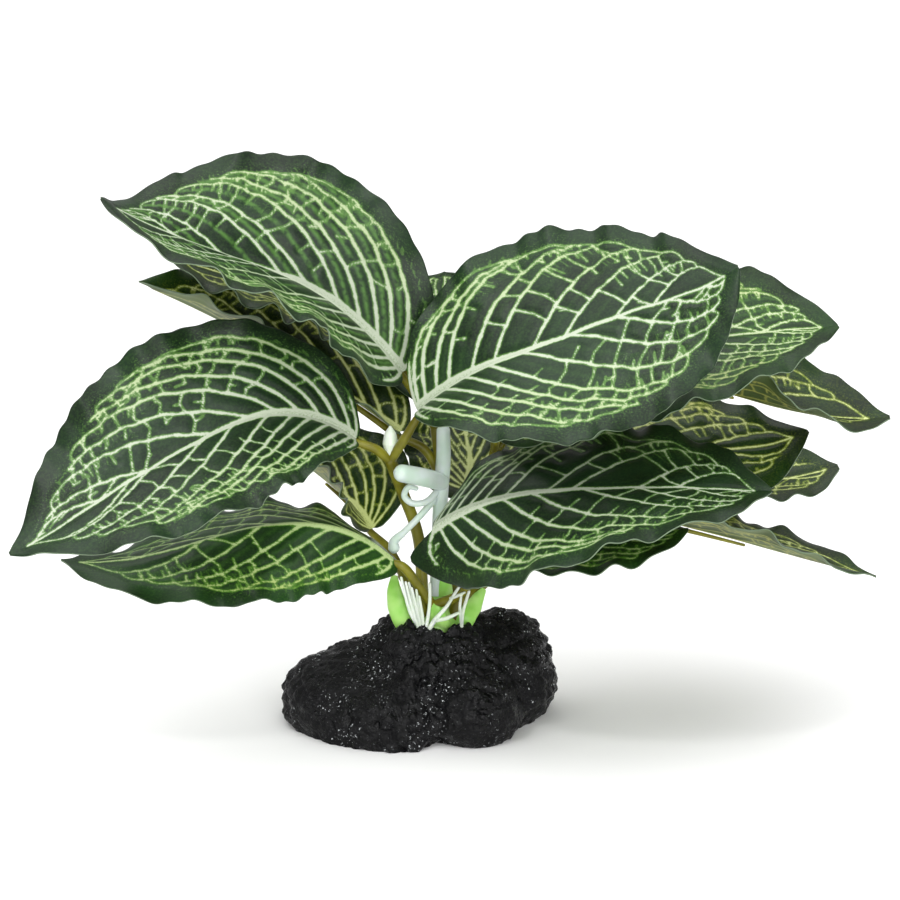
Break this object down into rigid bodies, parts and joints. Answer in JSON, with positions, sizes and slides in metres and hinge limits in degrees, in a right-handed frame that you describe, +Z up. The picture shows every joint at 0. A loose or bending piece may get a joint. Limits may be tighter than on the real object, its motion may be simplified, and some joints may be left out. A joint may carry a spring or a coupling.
{
  "type": "artificial nerve plant on a resin rock",
  "caption": "Artificial nerve plant for a tank or terrarium: waved, white-veined fabric leaves on moulded stems, glued into a black rock that holds it upright.",
  "frame": {"origin": "middle of the rock's flat underside, on the surface it stands on", "axes": "+Z up, +X to the right as seen from the front, along the widest spread of the leaves, and +Y away from the viewer"},
  "size_m": [0.2863, 0.1377, 0.1941],
  "materials": {
    "leaf_fabric": "printed polyester with a soft sheen, dark green with pale veins",
    "stem_plastic": "satin olive moulded plastic",
    "sheath_plastic": "soft gloss, bright green",
    "milky_plastic": "milky, half clear, soft gloss",
    "white_plastic": "soft gloss, white",
    "resin_rock": "coarse black grit in resin, with glossy sparks"
  },
  "bodies": {
    "root": {"base_rock": "resin_rock", "crown_sheaths": "sheath_plastic", "pale_stalk": "milky_plastic", "white_bud": "white_plastic", "white_roots_left": "white_plastic", "white_roots_right": "white_plastic", "spray_front": "stem_plastic", "spray_back": "stem_plastic", "spray_right": "stem_plastic", "spray_low": "stem_plastic", "spray_side": "stem_plastic", "spray_outer": "stem_plastic", "leaf_front_left": "leaf_fabric", "leaf_top_left": "leaf_fabric", "leaf_front_right": "leaf_fabric", "leaf_low_right": "leaf_fabric", "leaf_low_left": "leaf_fabric", "leaf_shaded_left": "leaf_fabric", "leaf_inner_left": "leaf_fabric", "leaf_centre_left": "leaf_fabric", "leaf_back_right": "leaf_fabric", "leaf_folded_right": "leaf_fabric", "leaf_middle_right": "leaf_fabric", "leaf_outer_right": "leaf_fabric", "leaf_drooping_right": "leaf_fabric", "leaf_under_right": "leaf_fabric", "leaf_centre_back": "leaf_fabric", "leaf_top_back": "leaf_fabric"}
  },
  "joints": []
}
